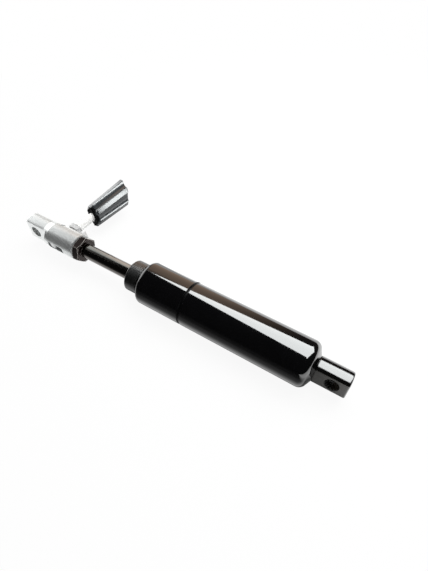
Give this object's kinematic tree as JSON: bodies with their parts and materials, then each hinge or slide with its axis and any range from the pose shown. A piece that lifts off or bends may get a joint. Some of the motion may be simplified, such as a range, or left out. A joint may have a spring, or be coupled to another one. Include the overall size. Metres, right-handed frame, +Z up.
{
  "type": "lockable gas spring",
  "caption": "Lockable gas spring: gloss black tube, sliding rod, aluminium release head with a flat tongue and cross slot, and a tilting lever with a lobed grip that opens the valve.",
  "frame": {"origin": "centre of the rear eye's bore, on the spring's axis", "axes": "+X along the axis from the release head to the rear eye, +Y to the side the lever points to, +Z up with the spring lying on its side"},
  "size_m": [0.2357, 0.0792, 0.028],
  "materials": {
    "tube_black": "gloss black paint on steel",
    "eye_black": "gloss black paint on steel",
    "guide_black": "matt black",
    "rod_black": "black nitrided steel, ground",
    "nut_black": "black oxide",
    "head_aluminium": "satin turned and milled",
    "rocker_aluminium": "satin",
    "inner_aluminium": "turned",
    "bright_steel": "bright zinc",
    "bronze": "sintered bronze",
    "inner_plastic": "natural plastic",
    "grip_black": "satin moulded black",
    "seal_rubber": "matt"
  },
  "bodies": {
    "barrel": {"pressure_tube": "tube_black", "rear_eye": "eye_black", "front_guide": "guide_black", "wiper_ring": "seal_rubber", "rod_bush": "bronze", "guide_seal": "seal_rubber", "rod_seal": "seal_rubber", "seal_washer": "bright_steel", "spacer_sleeve": "inner_plastic"},
    "piston_rings": {"piston_seal": "seal_rubber", "piston_band": "inner_plastic"},
    "rod": {"piston_rod": "rod_black", "pin_seal": "seal_rubber", "piston": "inner_aluminium", "stop_ring": "seal_rubber", "valve_cap": "bright_steel", "lock_nut": "nut_black", "release_head": "head_aluminium", "pivot_pin": "bright_steel"},
    "release": {"release_pin": "bright_steel", "valve_poppet": "bright_steel", "valve_seal": "seal_rubber"},
    "lever": {"lever_rocker": "rocker_aluminium", "lever_collar": "bright_steel", "lever_rod": "bright_steel", "grip": "grip_black"},
    "separator": {"separating_piston": "inner_aluminium", "separator_seal": "seal_rubber"}
  },
  "joints": [
    {"name": "rod_stroke", "type": "slide", "parent": "barrel", "child": "piston_rings", "axis": [1, 0, 0], "range_m": [0, 0.04]},
    {"name": "rod_turn", "type": "hinge", "parent": "piston_rings", "child": "rod", "pos_m": [-0.15, 0, 0], "axis": [1, 0, 0], "continuous": true},
    {"name": "lever_tilt", "type": "hinge", "parent": "rod", "child": "lever", "pos_m": [-0.2008, 0.005, 0], "axis": [0, 0, 1], "range_deg": [0, 15], "stiffness_Nm_per_rad": 0.3, "springref_deg": -5.73},
    {"name": "release_push", "type": "slide", "parent": "rod", "child": "release", "axis": [1, 0, 0], "range_m": [0, 0.0016]},
    {"name": "separator_slide", "type": "slide", "parent": "barrel", "child": "separator", "axis": [1, 0, 0], "range_m": [0, 0.0072]}
  ],
  "couplings": [
    {"joint": "release_push", "follows": "lever_tilt", "m_per_rad": 0.005626},
    {"joint": "separator_slide", "follows": "rod_stroke", "ratio": 0.17361}
  ]
}
